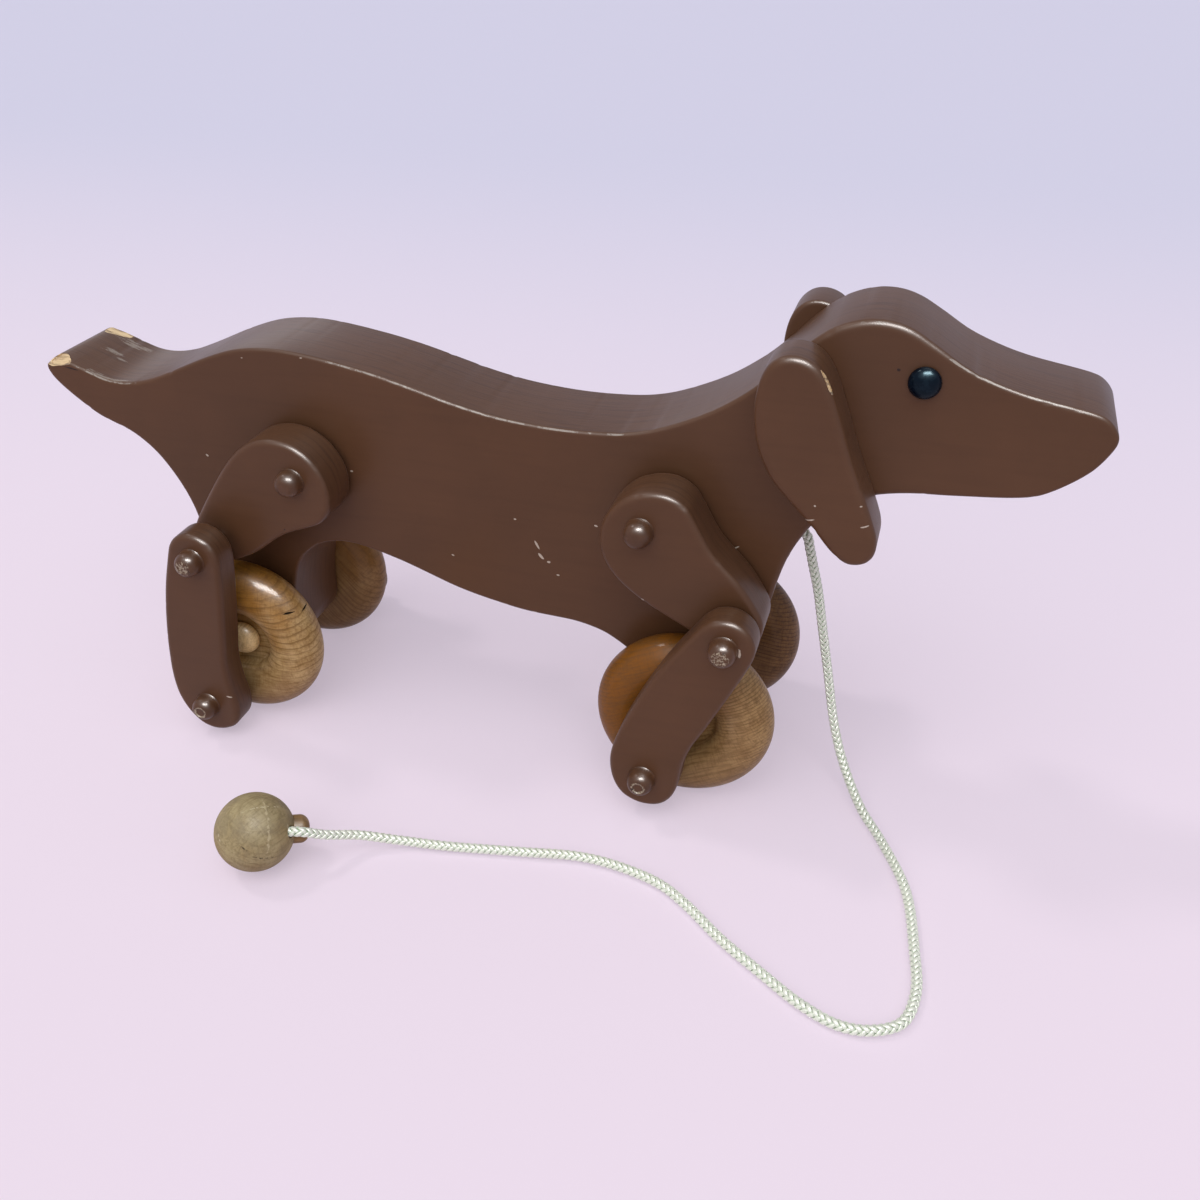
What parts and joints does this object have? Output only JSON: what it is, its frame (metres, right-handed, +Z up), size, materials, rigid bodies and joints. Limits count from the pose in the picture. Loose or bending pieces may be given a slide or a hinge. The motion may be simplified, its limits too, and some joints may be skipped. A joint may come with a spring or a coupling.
{
  "type": "dog pull toy",
  "caption": "Wooden walking-dog pull toy: a sawn board body on turned wheels whose crank pegs swing jointed legs, with drooping ears and a cord ending in a ball.",
  "frame": {"origin": "on the floor under the middle of the dog's length, on its centre plane", "axes": "+X to the nose, +Y to the dog's left, +Z up"},
  "size_m": [0.4049, 0.2005, 0.1939],
  "materials": {
    "brown_paint": "satin brown paint over wood, worn at the edges",
    "varnished_wood": "amber varnish over turned wood",
    "bare_peg_wood": "bare turned wood",
    "worn_ball_wood": "dull handled wood with turning rings",
    "dark_eye_gloss": "glossy near-black dome",
    "white_cord": "braided white nylon"
  },
  "bodies": {
    "dog": {"body": "brown_paint", "ear_right": "brown_paint", "ear_left": "brown_paint", "eye_right": "dark_eye_gloss", "eye_left": "dark_eye_gloss", "rear_right_hip_peg": "brown_paint", "rear_left_hip_peg": "brown_paint", "front_right_hip_peg": "brown_paint", "front_left_hip_peg": "brown_paint", "rear_right_axle_peg": "bare_peg_wood", "rear_left_axle_peg": "bare_peg_wood", "front_right_axle_peg": "bare_peg_wood", "front_left_axle_peg": "bare_peg_wood", "cord": "white_cord", "ball": "worn_ball_wood", "ball_plug": "bare_peg_wood"},
    "rear_right_thigh": {"rear_right_upper_leg": "brown_paint", "rear_right_knee_peg": "brown_paint"},
    "rear_right_shin": {"rear_right_lower_leg": "brown_paint", "rear_right_crank_peg": "brown_paint"},
    "rear_right_roller": {"rear_right_wheel": "varnished_wood"},
    "rear_left_thigh": {"rear_left_upper_leg": "brown_paint", "rear_left_knee_peg": "brown_paint"},
    "rear_left_shin": {"rear_left_lower_leg": "brown_paint", "rear_left_crank_peg": "brown_paint"},
    "rear_left_roller": {"rear_left_wheel": "varnished_wood"},
    "front_right_thigh": {"front_right_upper_leg": "brown_paint", "front_right_knee_peg": "brown_paint"},
    "front_right_shin": {"front_right_lower_leg": "brown_paint", "front_right_crank_peg": "brown_paint"},
    "front_right_roller": {"front_right_wheel": "varnished_wood"},
    "front_left_thigh": {"front_left_upper_leg": "brown_paint", "front_left_knee_peg": "brown_paint"},
    "front_left_shin": {"front_left_lower_leg": "brown_paint", "front_left_crank_peg": "brown_paint"},
    "front_left_roller": {"front_left_wheel": "varnished_wood"}
  },
  "joints": [
    {"name": "rear_right_wheel_spin", "type": "hinge", "parent": "dog", "child": "rear_right_roller", "pos_m": [-0.12295, -0.0307, 0.035], "axis": [0, -1, 0], "continuous": true},
    {"name": "rear_right_hip", "type": "hinge", "parent": "dog", "child": "rear_right_thigh", "pos_m": [-0.08365, -0.0303, 0.11774], "axis": [0, -1, 0], "range_deg": [-48.13, 0.68]},
    {"name": "rear_right_knee", "type": "hinge", "parent": "rear_right_thigh", "child": "rear_right_shin", "pos_m": [-0.12125, -0.0521, 0.0871], "axis": [0, -1, 0], "range_deg": [-0.89, 59.32]},
    {"name": "rear_left_wheel_spin", "type": "hinge", "parent": "dog", "child": "rear_left_roller", "pos_m": [-0.12295, 0.0307, 0.035], "axis": [0, -1, 0], "continuous": true},
    {"name": "rear_left_hip", "type": "hinge", "parent": "dog", "child": "rear_left_thigh", "pos_m": [-0.08365, 0.0303, 0.11774], "axis": [0, -1, 0], "range_deg": [-46.56, 2.25]},
    {"name": "rear_left_knee", "type": "hinge", "parent": "rear_left_thigh", "child": "rear_left_shin", "pos_m": [-0.12207, 0.0521, 0.08815], "axis": [0, -1, 0], "range_deg": [-2.28, 46.11]},
    {"name": "front_right_wheel_spin", "type": "hinge", "parent": "dog", "child": "front_right_roller", "pos_m": [0.06995, -0.0307, 0.035], "axis": [0, -1, 0], "continuous": true},
    {"name": "front_right_hip", "type": "hinge", "parent": "dog", "child": "front_right_thigh", "pos_m": [0.05295, -0.0303, 0.11774], "axis": [0, -1, 0], "range_deg": [-0.48, 46.94]},
    {"name": "front_right_knee", "type": "hinge", "parent": "front_right_thigh", "child": "front_right_shin", "pos_m": [0.08773, -0.048, 0.08394], "axis": [0, -1, 0], "range_deg": [-43.77, 0.5]},
    {"name": "front_left_wheel_spin", "type": "hinge", "parent": "dog", "child": "front_left_roller", "pos_m": [0.06995, 0.0307, 0.035], "axis": [0, -1, 0], "continuous": true},
    {"name": "front_left_hip", "type": "hinge", "parent": "dog", "child": "front_left_thigh", "pos_m": [0.05295, 0.0303, 0.11774], "axis": [0, -1, 0], "range_deg": [-0.92, 46.5]},
    {"name": "front_left_knee", "type": "hinge", "parent": "front_left_thigh", "child": "front_left_shin", "pos_m": [0.08799, 0.048, 0.08421], "axis": [0, -1, 0], "range_deg": [-51.6, 1.07]}
  ],
  "couplings": [
    {"joint": "rear_right_knee", "follows": "rear_right_hip", "ratio": -1.2314},
    {"joint": "rear_left_knee", "follows": "rear_left_hip", "ratio": -0.9892},
    {"joint": "front_right_knee", "follows": "front_right_hip", "ratio": -0.9315},
    {"joint": "front_left_knee", "follows": "front_left_hip", "ratio": -1.1086}
  ]
}
